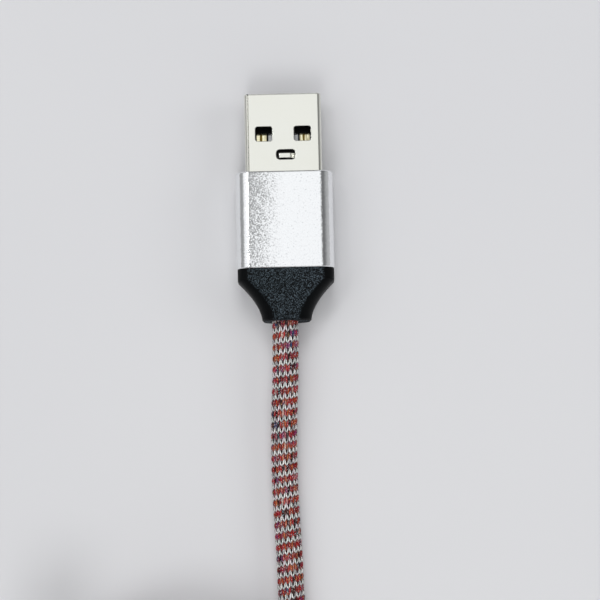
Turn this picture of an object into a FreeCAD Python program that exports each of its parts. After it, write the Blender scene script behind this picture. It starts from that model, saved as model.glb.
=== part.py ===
import FreeCAD, Part
import math
import os
import Sketcher

# A charging cable: a flat four-contact charger plug, a knitted cord with its spare
# length wound in a tied coil, and a small reversible phone plug on the far end.
# Millimetres. The charger plug lies flat with its windows up: +Y runs along it to its
# mouth, +Z is up, and the origin is under its middle, on the surface it lies on.
# Both plugs are drawn in a frame of their own: y = 0 is the front face of the housing,
# z = 0 is the middle of the plug, and the mouth points to +Y.

SIZES = {
    # what both plugs share
    "sleeve_wall": 0.6,
    "mould_wall": 0.5,
    "mould_recess": 0.25,
    "fit": 0.05,
    "edge_chamfer": 0.15,
    "relief_band": 1.8,
    "relief_inset": 0.08,
    "relief_curve": 1.75,
    "relief_edge": 0.25,
    "relief_rounding": 0.4,
    "tenon_length": 2.0,
    "contact_thickness": 0.25,
    "contact_tail_setback": 0.2,
    # charger plug, shell folded from thin sheet
    "charger_reach": 12.55,
    "charger_shell_width": 12.0,
    "charger_shell_height": 4.5,
    "charger_shell_wall": 0.3,
    "charger_shell_corner": 0.65,
    "charger_shell_tail": 3.5,
    "seam_gap": 0.1,
    "dovetail_length": 1.6,
    "dovetail_root": 0.9,
    "dovetail_tip": 1.3,
    "window_width": 2.65,
    "window_length": 2.35,
    "window_corner": 0.4,
    "window_spacing": 6.04,
    "window_setback": 5.2,
    "slot_width": 3.0,
    "slot_length": 1.6,
    "slot_corner": 0.6,
    "slot_setback": 8.88,
    "slot_offset": 0.37,
    "ramp_length": 0.54,
    "ramp_drop": 0.6,
    "tab_setback": 0.82,
    "tab_width": 0.75,
    "tab_length": 1.75,
    "tab_depth": 0.3,
    "tab_offset": 0.08,
    "tab_thickness": 0.15,
    # charger plug, contact carrier and contacts
    "tongue_setback": 0.5,
    "tongue_top": 0.0,
    "cavity_depth": 8.5,
    "block_tail": 1.5,
    "deck_tail": 5.0,
    "recess_depth": 0.8,
    "recess_clearance": 0.1,
    "groove_setback": 5.3,
    "groove_depth": 0.2,
    "contact_setback": 5.85,
    "contact_nose": 0.35,
    "power_contact_centre": 3.38,
    "power_contact_width": 1.55,
    "data_contact_centre": 1.35,
    "data_contact_width": 2.0,
    # charger plug, housing and strain relief
    "charger_housing_width": 15.1,
    "charger_housing_height": 7.8,
    "charger_housing_length": 15.1,
    "charger_housing_corner": 2.0,
    "charger_relief_length": 8.0,
    "charger_relief_end_width": 7.6,
    "charger_relief_end_height": 6.2,
    # phone plug, drawn shell and its lining
    "phone_reach": 6.65,
    "phone_shell_width": 8.25,
    "phone_shell_height": 2.4,
    "phone_shell_wall": 0.25,
    "phone_shell_tail": 3.0,
    "lining_setback": 0.15,
    "lining_tail": 2.0,
    "mouth_width": 6.9,
    "mouth_height": 0.95,
    "pin_count": 12,
    "pin_pitch": 0.5,
    "pin_width": 0.25,
    "pin_thickness": 0.12,
    "pin_setback": 1.9,
    "ground_spring_width": 5.6,
    "ground_spring_length": 1.0,
    "ground_spring_setback": 0.7,
    "latch_thickness": 0.3,
    "latch_arm": 0.22,
    "latch_hook": 0.25,
    "latch_setback": 1.1,
    "board_width": 6.6,
    "board_front_setback": 6.0,
    "board_tail": 6.5,
    "resistor_length": 1.0,
    "resistor_width": 0.5,
    "resistor_height": 0.35,
    # phone plug, housing and strain relief
    "phone_housing_width": 10.8,
    "phone_housing_height": 6.4,
    "phone_housing_length": 13.5,
    "phone_housing_corner": 1.4,
    "phone_relief_length": 8.0,
    "phone_relief_end_width": 6.6,
    "phone_relief_end_height": 5.0,
    # cord, and what holds its ends
    "cord_diameter": 4.0,
    "sheath_diameter": 3.2,
    "sheath_length": 2.0,
    "lead_diameter": 0.9,
    "crimp_wall": 0.3,
    "crimp_length": 1.6,
    "charger_cord_offset": -0.28,
    "phone_cord_offset": 0.0,
    "exit_run": 6.5,
    # coil of spare cord and its tie
    "coil_radius": 23.4,
    "coil_spacing": 0.6,
    "coil_layer_turns": 1.5,
    "coil_climb_turns": 0.5,
    "coil_turns": 6.0,
    "coil_approach": 6.3,
    "coil_departure": 5.9,
    "plug_rest_gap": 0.55,
    "tie_angle": -45.0,
    "tie_thickness": 0.4,
    "tie_width": 7.0,
    "tie_clearance": 0.2,
    "tie_flap": 6.0,
}

doc = FreeCAD.newDocument("charging_cable")
sheet = doc.addObject("Spreadsheet::Sheet", "dim")
for row, (alias, number) in enumerate(SIZES.items(), start=1):
    sheet.set(f"A{row}", alias.replace("_", " "))
    sheet.set(f"B{row}", str(number))
    sheet.setAlias(f"B{row}", alias)
gauge = doc.addObject("App::FeaturePython", "gauge")
gauge.addProperty("App::PropertyFloat", "reading")
doc.recompute()

nodes = {}
V = FreeCAD.Vector


def size(alias):
    """A driving dimension, as a plain number."""
    return float(sheet.get(alias))


def value(expression):
    """What an expression on the sheet comes to."""
    gauge.setExpression("reading", str(expression))
    gauge.recompute()
    return gauge.reading


# Sketches and bodies

def new_body(label):
    body = doc.addObject("PartDesign::Body", label)
    body.Label = label
    nodes[label] = body
    return body


def new_sketch(body, role, offset="0"):
    """A sketch on one of the body's own planes, moved along the plane's normal."""
    sketch = body.newObject("Sketcher::SketchObject", "Outline")
    plane = next(f for f in body.Origin.OriginFeatures if f.Role == role)
    sketch.AttachmentSupport = [(plane, "")]
    sketch.MapMode = "FlatFace"
    sketch.setExpression(".AttachmentOffset.Base.z", offset)
    return sketch


def section_sketch(body, y):
    """A cross-section of a plug at a place along it; pads on it grow to -Y."""
    return new_sketch(body, "XZ_Plane", f"-({y})")


def drive(sketch, kind, where, expression):
    """A dimension that follows the sheet."""
    index = sketch.addConstraint(Sketcher.Constraint(kind, *where, value(expression)))
    sketch.setExpression(f"Constraints[{index}]", expression)


def place_point(sketch, geometry, point, x, y):
    drive(sketch, "DistanceX", (-1, 1, geometry, point), x)
    drive(sketch, "DistanceY", (-1, 1, geometry, point), y)


def draw_polygon(sketch, points):
    """A closed outline of straight lines through points given as expressions."""
    corners = [V(value(x), value(y), 0) for x, y in points]
    first = sketch.GeometryCount
    count = len(points)
    for i in range(count):
        sketch.addGeometry(Part.LineSegment(corners[i], corners[(i + 1) % count]))
    for i in range(count):
        follower = first + (i + 1) % count
        sketch.addConstraint(Sketcher.Constraint("Coincident", first + i, 2, follower, 1))
    for i, (x, y) in enumerate(points):
        place_point(sketch, first + i, 1, x, y)


def draw_rectangle(sketch, width, height, x="0", y="0"):
    left, right = f"{x} - ({width}) / 2", f"{x} + ({width}) / 2"
    low, high = f"{y} - ({height}) / 2", f"{y} + ({height}) / 2"
    draw_polygon(sketch, [(left, low), (right, low), (right, high), (left, high)])


def draw_rounded(sketch, width, height, radius, x="0", y="0"):
    """A rectangle with rounded corners about a centre, all given as expressions."""
    right, left = f"{x} + ({width}) / 2 - ({radius})", f"{x} - ({width}) / 2 + ({radius})"
    high, low = f"{y} + ({height}) / 2 - ({radius})", f"{y} - ({height}) / 2 + ({radius})"
    centres = [(right, high), (left, high), (left, low), (right, low)]
    r = value(radius)
    first = sketch.GeometryCount
    ends = []
    for quarter, (cx, cy) in enumerate(centres):
        circle = Part.Circle(V(value(cx), value(cy), 0), V(0, 0, 1), r)
        arc = Part.ArcOfCircle(circle, quarter * math.pi / 2, (quarter + 1) * math.pi / 2)
        ends.append((arc.StartPoint, arc.EndPoint))
        sketch.addGeometry(arc)
    for quarter in range(4):
        following = (quarter + 1) % 4
        line = sketch.addGeometry(Part.LineSegment(ends[quarter][1], ends[following][0]))
        sketch.addConstraint(Sketcher.Constraint("Tangent", first + quarter, 2, line, 1))
        sketch.addConstraint(Sketcher.Constraint("Tangent", line, 2, first + following, 1))
        direction = "Horizontal" if quarter % 2 == 0 else "Vertical"
        sketch.addConstraint(Sketcher.Constraint(direction, line))
    for quarter in range(1, 4):
        sketch.addConstraint(Sketcher.Constraint("Equal", first, first + quarter))
    drive(sketch, "Radius", (first,), radius)
    place_point(sketch, first, 3, right, high)
    place_point(sketch, first + 2, 3, left, low)


def draw_stadium(sketch, width, height):
    """A flat oval: two half circles joined by straight lines."""
    radius = f"({height}) / 2"
    reach = f"(({width}) - ({height})) / 2"
    r = value(radius)
    c = value(reach)
    turn = math.pi / 2
    right = sketch.addGeometry(Part.ArcOfCircle(Part.Circle(V(c, 0, 0), V(0, 0, 1), r), -turn, turn))
    left = sketch.addGeometry(Part.ArcOfCircle(Part.Circle(V(-c, 0, 0), V(0, 0, 1), r), turn, 3 * turn))
    top = sketch.addGeometry(Part.LineSegment(V(c, r, 0), V(-c, r, 0)))
    bottom = sketch.addGeometry(Part.LineSegment(V(-c, -r, 0), V(c, -r, 0)))
    for one, two in ((right, top), (top, left), (left, bottom), (bottom, right)):
        sketch.addConstraint(Sketcher.Constraint("Tangent", one, 2, two, 1))
    sketch.addConstraint(Sketcher.Constraint("Equal", right, left))
    drive(sketch, "Radius", (right,), radius)
    place_point(sketch, right, 3, reach, "0")
    place_point(sketch, left, 3, f"-({reach})", "0")


def draw_circle(sketch, radius, x="0"):
    circle = sketch.addGeometry(Part.Circle(V(value(x), 0, 0), V(0, 0, 1), value(radius)))
    drive(sketch, "Radius", (circle,), radius)
    place_point(sketch, circle, 3, x, "0")


def extrude(body, kind, sketch, length, middle=False, backwards=False):
    """A pad or a pocket of a length; a pocket cuts against its sketch's normal."""
    feature = body.newObject(f"PartDesign::{kind}", kind)
    feature.Profile = sketch
    feature.Reversed = backwards
    if middle:
        feature.SideType = "Symmetric"
    feature.setExpression("Length", length)
    body.Tip = feature
    return feature


def pad(body, sketch, length, **how):
    return extrude(body, "Pad", sketch, length, **how)


def cut(body, sketch, length, **how):
    """A pocket that has to take material away."""
    doc.recompute()
    before = body.Shape.Volume
    feature = extrude(body, "Pocket", sketch, length, **how)
    doc.recompute()
    if body.Shape.Volume > before - 1e-6:
        raise RuntimeError(f"a cut in {body.Label} takes nothing away")
    return feature


def cut_back(body, sketch, length):
    """A pocket from a cross-section towards -Y, the way pads on it grow."""
    return cut(body, sketch, length, backwards=True)


def spin(body, sketch, angle="360", middle=False):
    """A solid of revolution about the sketch's own upright axis."""
    feature = body.newObject("PartDesign::Revolution", "Revolution")
    feature.Profile = sketch
    feature.ReferenceAxis = (sketch, ["V_Axis"])
    feature.Midplane = middle
    feature.setExpression("Angle", angle)
    body.Tip = feature
    return feature


def chamfer_rims(body, places, width, across):
    """Chamfer the outer rim edges that lie at given places along the plug."""
    doc.recompute()
    base = body.Tip
    rim = []
    for number, edge in enumerate(base.Shape.Edges, start=1):
        box = edge.BoundBox
        flat = box.YLength < 1e-4 and any(abs(box.Center.y - y) < 1e-4 for y in places)
        outermost = max(abs(box.XMin), abs(box.XMax)) > across[0] - 1e-4
        outermost = outermost or max(abs(box.ZMin), abs(box.ZMax)) > across[1] - 1e-4
        if flat and outermost:
            rim.append(f"Edge{number}")
    feature = body.newObject("PartDesign::Chamfer", "Chamfer")
    feature.Base = (base, rim)
    feature.setExpression("Size", width)
    body.Tip = feature


# Where the two plugs lie

def lay_charger_part(item, x="0"):
    """The charger plug lies flat on its housing, centred on the origin along Y."""
    item.setExpression(".Placement.Base.x", x)
    middle = "(dim.charger_housing_length + dim.charger_relief_length - dim.charger_reach) / 2"
    item.setExpression(".Placement.Base.y", middle)
    item.setExpression(".Placement.Base.z", "dim.charger_housing_height / 2")


phone_items = []


def lay_phone_part(item, x=0.0):
    """The phone plug's place is worked out from the end of the cord, further down."""
    phone_items.append((item, x))


def lay_part(end, item):
    if end == "charger":
        lay_charger_part(item)
    else:
        lay_phone_part(item)


def lay_cord_part(end, item):
    """A piece on the cord's end, which a soft strain relief holds a little off its middle."""
    if end == "charger":
        lay_charger_part(item, "dim.charger_cord_offset")
    else:
        lay_phone_part(item, size("phone_cord_offset"))


# Pieces that both plugs have, at their own sizes

def make_housing(end):
    """Drawn aluminium sleeve, open at both ends."""
    body = new_body(f"{end}_plug_housing")
    width, height = f"dim.{end}_housing_width", f"dim.{end}_housing_height"
    corner, length = f"dim.{end}_housing_corner", f"dim.{end}_housing_length"
    outside = section_sketch(body, "0")
    draw_rounded(outside, width, height, corner)
    pad(body, outside, length)
    inside = section_sketch(body, "0")
    wall = "2 * dim.sleeve_wall"
    draw_rounded(inside, f"{width} - {wall}", f"{height} - {wall}", f"{corner} - dim.sleeve_wall")
    cut_back(body, inside, length)
    across = (size(f"{end}_housing_width") / 2, size(f"{end}_housing_height") / 2)
    chamfer_rims(body, (0.0, -size(f"{end}_housing_length")), "dim.edge_chamfer", across)
    lay_part(end, body)


def make_inner_mould(end, draw_shell_outline):
    """Hard moulding between the shell and the sleeve, hollow for the joints behind."""
    body = new_body(f"{end}_plug_inner_mould")
    gap = "2 * (dim.sleeve_wall + dim.fit)"
    width = f"dim.{end}_housing_width - {gap}"
    height = f"dim.{end}_housing_height - {gap}"
    corner = f"dim.{end}_housing_corner - dim.sleeve_wall - dim.fit"
    block = section_sketch(body, "-dim.mould_recess")
    draw_rounded(block, width, height, corner)
    pad(body, block, f"dim.{end}_housing_length - dim.tenon_length - dim.mould_recess")
    seat = section_sketch(body, "0")
    draw_shell_outline(seat)
    cut_back(body, seat, f"dim.{end}_shell_tail")
    chamber = section_sketch(body, f"-dim.{end}_shell_tail")
    shrink = "2 * dim.mould_wall"
    draw_rounded(chamber, f"{width} - {shrink}", f"{height} - {shrink}", f"{corner} / 2")
    cut_back(body, chamber, f"dim.{end}_housing_length")
    lay_part(end, body)


def make_strain_relief(end):
    """Soft tapered sleeve: a band as wide as the housing, then a taper to an oval end."""
    body = new_body(f"{end}_plug_strain_relief")
    inset = "2 * dim.relief_inset"
    width = f"(dim.{end}_housing_width - {inset})"
    height = f"(dim.{end}_housing_height - {inset})"
    corner = f"dim.{end}_housing_corner"
    back = f"dim.{end}_housing_length"
    end_width, end_height = f"dim.{end}_relief_end_width", f"dim.{end}_relief_end_height"
    end_corner = f"({end_height} * dim.relief_rounding)"
    gap = "2 * (dim.sleeve_wall + dim.fit)"

    tenon = section_sketch(body, f"-{back} + dim.tenon_length")
    tenon_corner = f"{corner} - dim.sleeve_wall - dim.fit"
    draw_rounded(tenon, f"dim.{end}_housing_width - {gap}", f"dim.{end}_housing_height - {gap}", tenon_corner)
    pad(body, tenon, "dim.tenon_length")
    band = section_sketch(body, f"-{back}")
    draw_rounded(band, width, height, corner)
    pad(body, band, "dim.relief_band")

    taper = f"(dim.{end}_relief_length - dim.relief_band)"
    sections = []
    steps = 4
    for step in range(steps + 1):
        share = step / steps
        wide = f"(1 - {share}) ^ dim.relief_curve"
        high = 1 - share ** 2 * (3 - 2 * share)
        section = section_sketch(body, f"-{back} - dim.relief_band - {taper} * {share}")
        section_width = f"{end_width} + ({width} - {end_width}) * {wide}"
        section_height = f"{end_height} + ({height} - {end_height}) * {high}"
        section_corner = f"{corner} + ({end_corner} - {corner}) * {share}"
        draw_rounded(section, section_width, section_height, section_corner)
        sections.append(section)
    loft = body.newObject("PartDesign::AdditiveLoft", "Taper")
    loft.Profile = sections[0]
    loft.Sections = sections[1:]
    body.Tip = loft

    rear = size(f"{end}_housing_length") + size(f"{end}_relief_length")
    across = (size(f"{end}_relief_end_width") / 2, size(f"{end}_relief_end_height") / 2)
    chamfer_rims(body, (-rear,), "dim.relief_edge", across)
    bore = section_sketch(body, f"-{back} + dim.tenon_length")
    draw_circle(bore, "dim.cord_diameter / 2", f"dim.{end}_cord_offset")
    cut_back(body, bore, f"dim.tenon_length + dim.{end}_relief_length")
    lay_part(end, body)


def make_cord_end(end):
    """The last of the cord, held in the strain relief, its inner sheath bared in front."""
    body = new_body(f"{end}_plug_cord_end")
    front = f"-dim.{end}_housing_length + dim.tenon_length"
    rear = f"-dim.{end}_housing_length - dim.{end}_relief_length"
    profile = new_sketch(body, "XY_Plane")
    outer, inner = "dim.cord_diameter / 2", "dim.sheath_diameter / 2"
    bared = f"{front} + dim.sheath_length"
    draw_polygon(profile, [("0", rear), (outer, rear), (outer, front),
                           (inner, front), (inner, bared), ("0", bared)])
    spin(body, profile)
    lay_cord_part(end, body)


def make_crimp(end):
    """Split metal ring squeezed on the bared sheath."""
    body = new_body(f"{end}_plug_crimp")
    rear = f"-dim.{end}_housing_length + dim.tenon_length + (dim.sheath_length - dim.crimp_length) / 2"
    ring = section_sketch(body, f"{rear} + dim.crimp_length")
    draw_circle(ring, "dim.sheath_diameter / 2 + dim.crimp_wall")
    pad(body, ring, "dim.crimp_length")
    hole = section_sketch(body, f"{rear} + dim.crimp_length")
    draw_circle(hole, "dim.sheath_diameter / 2")
    cut_back(body, hole, "dim.crimp_length")
    slit = section_sketch(body, f"{rear} + dim.crimp_length")
    draw_rectangle(slit, "dim.crimp_wall", "dim.sheath_diameter", "0", "-dim.sheath_diameter / 2")
    cut_back(body, slit, "dim.crimp_length")
    lay_cord_part(end, body)


# Charger plug

def charger_cavity(grow):
    """Inner width, height and corner of the shell, made larger by a margin all round."""
    width = f"dim.charger_shell_width - 2 * dim.charger_shell_wall + 2 * ({grow})"
    height = f"dim.charger_shell_height - 2 * dim.charger_shell_wall + 2 * ({grow})"
    corner = f"dim.charger_shell_corner - dim.charger_shell_wall + ({grow})"
    return width, height, corner


def draw_charger_shell_outline(sketch):
    draw_rounded(sketch, "dim.charger_shell_width", "dim.charger_shell_height", "dim.charger_shell_corner")


def make_charger_shell():
    body = new_body("charger_plug_shell")
    length = "dim.charger_reach + dim.charger_shell_tail"
    outside = section_sketch(body, "dim.charger_reach")
    draw_charger_shell_outline(outside)
    pad(body, outside, length)
    across = (size("charger_shell_width") / 2, size("charger_shell_height") / 2)
    chamfer_rims(body, (size("charger_reach"),), "dim.edge_chamfer", across)
    inside = section_sketch(body, "dim.charger_reach")
    draw_rounded(inside, *charger_cavity("0"))
    cut_back(body, inside, length)

    windows = new_sketch(body, "XY_Plane")
    middle = "dim.charger_reach - dim.window_setback - dim.window_length / 2"
    for side in ("-", ""):
        x = f"{side}dim.window_spacing / 2"
        draw_rounded(windows, "dim.window_width", "dim.window_length", "dim.window_corner", x, middle)
    cut(body, windows, "dim.charger_shell_height + 1", middle=True)

    slot = new_sketch(body, "XY_Plane")
    slot_middle = "dim.charger_reach - dim.slot_setback - dim.slot_length / 2"
    draw_rounded(slot, "dim.slot_width", "dim.slot_length", "dim.slot_corner", "dim.slot_offset", slot_middle)
    cut(body, slot, "dim.charger_shell_height", backwards=True)

    seam = new_sketch(body, "XY_Plane")
    draw_polygon(seam, seam_points())
    cut(body, seam, "dim.charger_shell_height")

    add_slot_tab(body, slot_middle)
    lay_charger_part(body)


def seam_points():
    """The butt seam under the shell, with one dovetail key: a thin closed outline."""
    gap = "dim.seam_gap"
    middle = "dim.charger_reach / 2"
    root, tip = "dim.dovetail_root / 2", "dim.dovetail_tip / 2"
    front, tail = "dim.charger_reach + 1", "-dim.charger_shell_tail - 1"
    key = "dim.dovetail_length"
    return [
        ("0", front),
        ("0", f"{middle} + {root}"),
        (key, f"{middle} + {tip}"),
        (key, f"{middle} - {tip}"),
        ("0", f"{middle} - {root}"),
        ("0", tail),
        (f"-{gap}", tail),
        (f"-{gap}", f"{middle} - {root} + {gap}"),
        (f"{key} - {gap}", f"{middle} - {tip} + {gap}"),
        (f"{key} - {gap}", f"{middle} + {tip} - {gap}"),
        (f"-{gap}", f"{middle} + {root} - {gap}"),
        (f"-{gap}", front),
    ]


def add_slot_tab(body, slot_middle):
    """The lanced tab in the slot: a ramp down from the right end, then up to a flat lug."""
    surface = "dim.charger_shell_height / 2"
    right = "dim.slot_offset + dim.slot_width / 2"
    foot = f"{right} - dim.ramp_length"
    low = f"{surface} - dim.ramp_drop"
    floor = f"{low} - dim.tab_thickness"
    lug_right = f"{right} - dim.tab_setback"
    lug_left = f"{lug_right} - dim.tab_length"
    lug_top = f"{surface} - dim.tab_depth"
    lug_under = f"{lug_top} - dim.tab_thickness"
    ramp = new_sketch(body, "XZ_Plane", f"-({slot_middle})")
    under = f"{surface} - dim.charger_shell_wall"
    draw_polygon(ramp, [(right, surface), (foot, low), (foot, floor), (right, under),
                        (f"{right} + dim.charger_shell_wall", under),
                        (f"{right} + dim.charger_shell_wall", surface)])
    pad(body, ramp, "dim.slot_length", middle=True)
    lug = new_sketch(body, "XZ_Plane", f"-({slot_middle} - dim.tab_offset)")
    half = "dim.tab_thickness / 2"
    draw_polygon(lug, [(foot, low), (lug_right, lug_top), (lug_left, lug_top), (lug_left, lug_under),
                       (f"{lug_right} - {half}", lug_under), (f"{foot} - {half}", floor), (foot, floor)])
    pad(body, lug, "dim.tab_width", middle=True)


def make_insulator():
    """Contact carrier: a half-height tongue, a block that fills the shell, a rear deck."""
    body = new_body("charger_plug_insulator")
    width, height, corner = charger_cavity("-dim.fit")
    low = f"-({height}) / 2"
    tongue = section_sketch(body, "dim.charger_reach - dim.tongue_setback")
    tongue_height = f"(dim.tongue_top - ({low}))"
    draw_rectangle(tongue, f"{width} - 2 * ({corner})", tongue_height, "0", f"({low} + {tongue_height} / 2)")
    pad(body, tongue, "dim.charger_reach - dim.tongue_setback + dim.deck_tail")
    block = section_sketch(body, "dim.charger_reach - dim.cavity_depth")
    draw_rounded(block, width, height, corner)
    pad(body, block, "dim.charger_reach - dim.cavity_depth + dim.block_tail")

    grooves = section_sketch(body, "dim.charger_reach - dim.groove_setback")
    groove_height = "dim.contact_thickness + dim.fit"
    groove_middle = f"dim.tongue_top - dim.groove_depth + ({groove_height}) / 2"
    for kind in ("power", "data"):
        for side in ("-", ""):
            x = f"{side}dim.{kind}_contact_centre"
            groove_width = f"dim.{kind}_contact_width + 2 * dim.fit"
            draw_rectangle(grooves, groove_width, groove_height, x, groove_middle)
    cut_back(body, grooves, "dim.charger_reach + dim.deck_tail")

    recess = new_sketch(body, "XY_Plane", "dim.charger_shell_height / 2 - dim.recess_depth")
    middle = "dim.charger_reach - dim.slot_setback - dim.slot_length / 2"
    margin = "2 * dim.recess_clearance"
    draw_rounded(recess, f"dim.slot_width + {margin}", f"dim.slot_length + {margin}",
                 "dim.slot_corner / 2", "dim.slot_offset", middle)
    cut(body, recess, "dim.recess_depth", backwards=True)
    lay_charger_part(body)


def make_contact(name, kind, side):
    """A flat strip in its groove, its front end ramped down into the tongue."""
    body = new_body(f"charger_plug_{name}_contact")
    profile = new_sketch(body, "YZ_Plane")
    front = "dim.charger_reach - dim.contact_setback"
    rear = "-dim.deck_tail + dim.contact_tail_setback"
    low = "dim.tongue_top - dim.groove_depth"
    high = f"{low} + dim.contact_thickness"
    draw_polygon(profile, [(rear, low), (front, low), (f"{front} - dim.contact_nose", high), (rear, high)])
    pad(body, profile, f"dim.{kind}_contact_width", middle=True)
    lay_charger_part(body, f"{side}dim.{kind}_contact_centre")


# Phone plug

def draw_phone_shell_outline(sketch):
    draw_stadium(sketch, "dim.phone_shell_width", "dim.phone_shell_height")


def make_phone_shell():
    """Seamless drawn shell, a flat oval tube with a softened front rim."""
    body = new_body("phone_plug_shell")
    length = "dim.phone_reach + dim.phone_shell_tail"
    outside = section_sketch(body, "dim.phone_reach")
    draw_phone_shell_outline(outside)
    pad(body, outside, length)
    across = (size("phone_shell_width") / 2, size("phone_shell_height") / 2)
    chamfer_rims(body, (size("phone_reach"),), "dim.edge_chamfer", across)
    inside = section_sketch(body, "dim.phone_reach")
    wall = "2 * dim.phone_shell_wall"
    draw_stadium(inside, f"dim.phone_shell_width - {wall}", f"dim.phone_shell_height - {wall}")
    cut_back(body, inside, length)
    lay_phone_part(body)


def make_lining():
    """Black lining of the phone plug, with the flat mouth through it."""
    body = new_body("phone_plug_insulator")
    gap = "2 * (dim.phone_shell_wall + dim.fit)"
    front = "dim.phone_reach - dim.lining_setback"
    outside = section_sketch(body, front)
    draw_stadium(outside, f"dim.phone_shell_width - {gap}", f"dim.phone_shell_height - {gap}")
    pad(body, outside, f"{front} + dim.lining_tail")
    mouth = section_sketch(body, front)
    draw_rounded(mouth, "dim.mouth_width", "dim.mouth_height", "dim.mouth_height / 4")
    cut_back(body, mouth, f"{front} + dim.lining_tail")
    lay_phone_part(body)


def add_box(name, extents, low):
    """A rectangular block: its sizes and its lowest corner, as expressions."""
    box = doc.addObject("Part::Box", name)
    for side, extent in zip(("Length", "Width", "Height"), extents):
        box.setExpression(side, extent)
    for axis, place in zip("xyz", low):
        box.setExpression(f".Placement.Base.{axis}", place)
    return box


def add_boxed_part(label, boxes):
    """One sub-part made of one or more separate blocks."""
    group = doc.addObject("Part::Compound", label)
    group.Label = label
    group.Links = boxes
    nodes[label] = group
    lay_phone_part(group)


def make_pin_row(label, side):
    """A row of contact strips on one face of the mouth, side by side."""
    count = int(size("pin_count"))
    front = "dim.phone_reach - dim.pin_setback"
    length = f"{front} + dim.phone_shell_tail"
    outer = "dim.mouth_height / 2"
    low = f"{outer} - dim.pin_thickness" if side > 0 else f"-{outer}"
    boxes = []
    for i in range(count):
        x = f"({i} - (dim.pin_count - 1) / 2) * dim.pin_pitch - dim.pin_width / 2"
        corner = (x, "-dim.phone_shell_tail", low)
        boxes.append(add_box(f"{label}_{i + 1}", ("dim.pin_width", length, "dim.pin_thickness"), corner))
    add_boxed_part(label, boxes)


def make_ground_spring(label, side):
    """A thin plate on one face of the mouth, in front of the contacts."""
    outer = "dim.mouth_height / 2"
    low = f"{outer} - dim.pin_thickness" if side > 0 else f"-{outer}"
    rear = "dim.phone_reach - dim.ground_spring_setback - dim.ground_spring_length"
    extents = ("dim.ground_spring_width", "dim.ground_spring_length", "dim.pin_thickness")
    add_boxed_part(label, [add_box(f"{label}_plate", extents, ("-dim.ground_spring_width / 2", rear, low))])


def make_latch():
    """Spring fork: two side arms with hooks, joined by a bar in front of the board."""
    body = new_body("phone_plug_latch")
    half = "dim.mouth_width / 2 - dim.fit"
    inner = f"{half} - dim.latch_arm"
    hook = f"{inner} - dim.latch_hook"
    tip = "dim.phone_reach - dim.latch_setback"
    bar = "dim.phone_reach - dim.board_front_setback"
    profile = new_sketch(body, "XY_Plane")
    right = [(half, bar), (half, tip), (hook, f"{tip} - dim.latch_hook"),
             (inner, f"{tip} - 3 * dim.latch_hook"), (inner, f"{bar} + dim.latch_arm")]
    left = [(f"-({x})", y) for x, y in reversed(right)]
    draw_polygon(profile, right + left)
    pad(body, profile, "dim.latch_thickness", middle=True)
    lay_phone_part(body)


def make_board():
    """Small circuit board between the contact rows, and the resistor on it."""
    front = "dim.phone_reach - dim.board_front_setback"
    thickness = "dim.mouth_height - 2 * dim.pin_thickness"
    board = add_box("board_blank", ("dim.board_width", f"{front} + dim.board_tail", thickness),
                    ("-dim.board_width / 2", "-dim.board_tail", f"-({thickness}) / 2"))
    add_boxed_part("phone_plug_board", [board])
    resistor = add_box("resistor_body", ("dim.resistor_length", "dim.resistor_width", "dim.resistor_height"),
                       ("-dim.resistor_length / 2", "-dim.board_tail + 2 * dim.resistor_length",
                        f"({thickness}) / 2"))
    add_boxed_part("phone_plug_resistor", [resistor])


# Tubes along routes

def rounded_corner(before, corner, after):
    """The arc that touches two equally long legs of a corner at their far ends."""
    leg = (corner - before).Length
    weight = (after - before).Length / (2 * leg)
    middle = (before + corner * (2 * weight) + after) * (1 / (2 + 2 * weight))
    return Part.Arc(before, middle, after).toShape()


def route_edges(points, share=0.45):
    """Straight runs joined by arcs that take up a share of the shorter run each side."""
    edges = []
    radii = []
    here = points[0]
    for before, corner, after in zip(points, points[1:], points[2:]):
        back, ahead = before - corner, after - corner
        reach = share * min(back.Length, ahead.Length)
        radii.append(reach / math.tan((math.pi - back.getAngle(ahead)) / 2))
        start = corner + back * (reach / back.Length)
        finish = corner + ahead * (reach / ahead.Length)
        edges.append(Part.LineSegment(here, start).toShape())
        edges.append(rounded_corner(start, corner, finish))
        here = finish
    edges.append(Part.LineSegment(here, points[-1]).toShape())
    return edges, radii


def tube_along(edges, diameter):
    path = Part.Wire(edges)
    start = edges[0].firstVertex().Point
    ahead = edges[0].tangentAt(edges[0].FirstParameter)
    ring = Part.Wire([Part.Circle(start, ahead, diameter / 2).toShape()])
    return path.makePipeShell([ring], True, False), path


def report_tube(label, tube, path, diameter, radii):
    expected = math.pi * diameter ** 2 / 4 * path.Length
    bends = f", tightest arc {min(radii):.1f}" if radii else ""
    print(f"{label}: {path.Length:.1f} mm long, volume {tube.Volume:.2f} for {expected:.2f}{bends}")


def add_tube(label, edges, diameter, radii):
    """A sub-part that follows a route, with its length and volume printed."""
    tube, path = tube_along(edges, diameter)
    report_tube(label, tube, path, diameter, radii)
    feature = doc.addObject("Part::Feature", label)
    feature.Label = label
    feature.Shape = tube
    nodes[label] = feature
    return feature


# Insulated leads inside the plugs

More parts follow.
